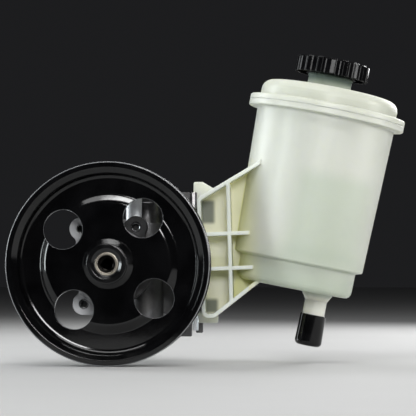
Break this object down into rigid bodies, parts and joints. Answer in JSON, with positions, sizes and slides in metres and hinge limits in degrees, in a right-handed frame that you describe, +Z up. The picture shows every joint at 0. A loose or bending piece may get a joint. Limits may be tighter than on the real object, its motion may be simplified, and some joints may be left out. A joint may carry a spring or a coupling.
{
  "type": "power steering pump",
  "caption": "Vane-type power steering pump with a dished belt pulley and a leaning translucent reservoir clipped on by a ribbed bracket.",
  "frame": {"origin": "middle of the belt track on the shaft axis", "axes": "-Y along the shaft out of the pulley's face, +X towards the reservoir, +Z up as the pump sits in its picture"},
  "size_m": [0.3153, 0.1508, 0.2503],
  "materials": {
    "pulley_paint": "gloss black paint",
    "hub_black": "black oxide",
    "shaft_steel": "turned steel",
    "bearing_steel": "ground",
    "cage_brass": "pressed",
    "spring_steel": "oiled",
    "clip_zinc": "zinc plated",
    "seal_rubber": "moulded",
    "bush_bronze": "sintered",
    "cast_body": "as cast with machined faces",
    "group_steel": "ground",
    "fitting_steel": "plated",
    "tank_plastic": "translucent natural nylon",
    "cap_plastic": "glossy black",
    "port_cap_vinyl": "soft glossy vinyl"
  },
  "bodies": {
    "pump": {"pump_housing": "cast_body", "mount_ear_upper": "cast_body", "mount_ear_lower": "cast_body", "mount_ear_inner": "cast_body", "carrier_plate": "cast_body", "bearing_outer_race": "bearing_steel", "bearing_snap_ring": "spring_steel", "shaft_seal": "seal_rubber", "shaft_bush": "bush_bronze", "front_plate": "group_steel", "cam_ring": "group_steel", "rear_plate": "group_steel", "dowel_pins": "group_steel", "plate_spring": "spring_steel", "end_cover": "group_steel", "end_cover_oring": "seal_rubber", "end_cover_ring": "spring_steel", "valve_spring": "spring_steel", "valve_plug": "fitting_steel", "valve_plug_oring": "seal_rubber", "outlet_fitting": "fitting_steel", "outlet_oring": "seal_rubber", "reservoir_tank": "tank_plastic", "reservoir_top": "tank_plastic", "return_filter": "tank_plastic", "feed_oring": "seal_rubber", "clip_upper": "spring_steel", "clip_lower": "clip_zinc"},
    "drive": {"pulley": "pulley_paint", "pulley_hub": "hub_black", "drive_shaft": "shaft_steel", "rotor": "group_steel", "vanes": "group_steel", "rotor_snap_ring": "spring_steel", "bearing_inner_race": "bearing_steel"},
    "ball_train": {"bearing_balls": "bearing_steel", "bearing_cage": "cage_brass"},
    "spool": {"valve_spool": "group_steel"},
    "cap_seal": {"cap_gasket": "seal_rubber"},
    "cap": {"filler_cap": "cap_plastic", "dipstick": "cap_plastic"},
    "port_cap": {"return_port_cap": "port_cap_vinyl"}
  },
  "joints": [
    {"name": "pulley_spin", "type": "hinge", "parent": "pump", "child": "drive", "pos_m": [0, 0, 0], "axis": [0, 1, 0], "continuous": true},
    {"name": "ball_train_spin", "type": "hinge", "parent": "pump", "child": "ball_train", "pos_m": [0, 0, 0], "axis": [0, 1, 0], "continuous": true},
    {"name": "spool_slide", "type": "slide", "parent": "pump", "child": "spool", "axis": [0, 0, -1], "range_m": [0, 0.008], "stiffness_N_per_m": 4000, "springref_m": -0.003, "deforming": ["valve_spring"]},
    {"name": "cap_lift", "type": "slide", "parent": "pump", "child": "cap_seal", "axis": [0.1908, 0, 0.9816], "range_m": [0, 0.012]},
    {"name": "cap_turn", "type": "hinge", "parent": "cap_seal", "child": "cap", "pos_m": [0.17526, 0.065, 0.15246], "axis": [0.1908, 0, 0.9816], "range_deg": [0, 720]},
    {"name": "port_cap_pull", "type": "slide", "parent": "pump", "child": "port_cap", "axis": [-0.1908, 0, -0.9816], "range_m": [0, 0.03]}
  ],
  "couplings": [
    {"joint": "ball_train_spin", "follows": "pulley_spin", "ratio": 0.3976},
    {"joint": "cap_lift", "follows": "cap_turn", "m_per_rad": 0.000954}
  ]
}
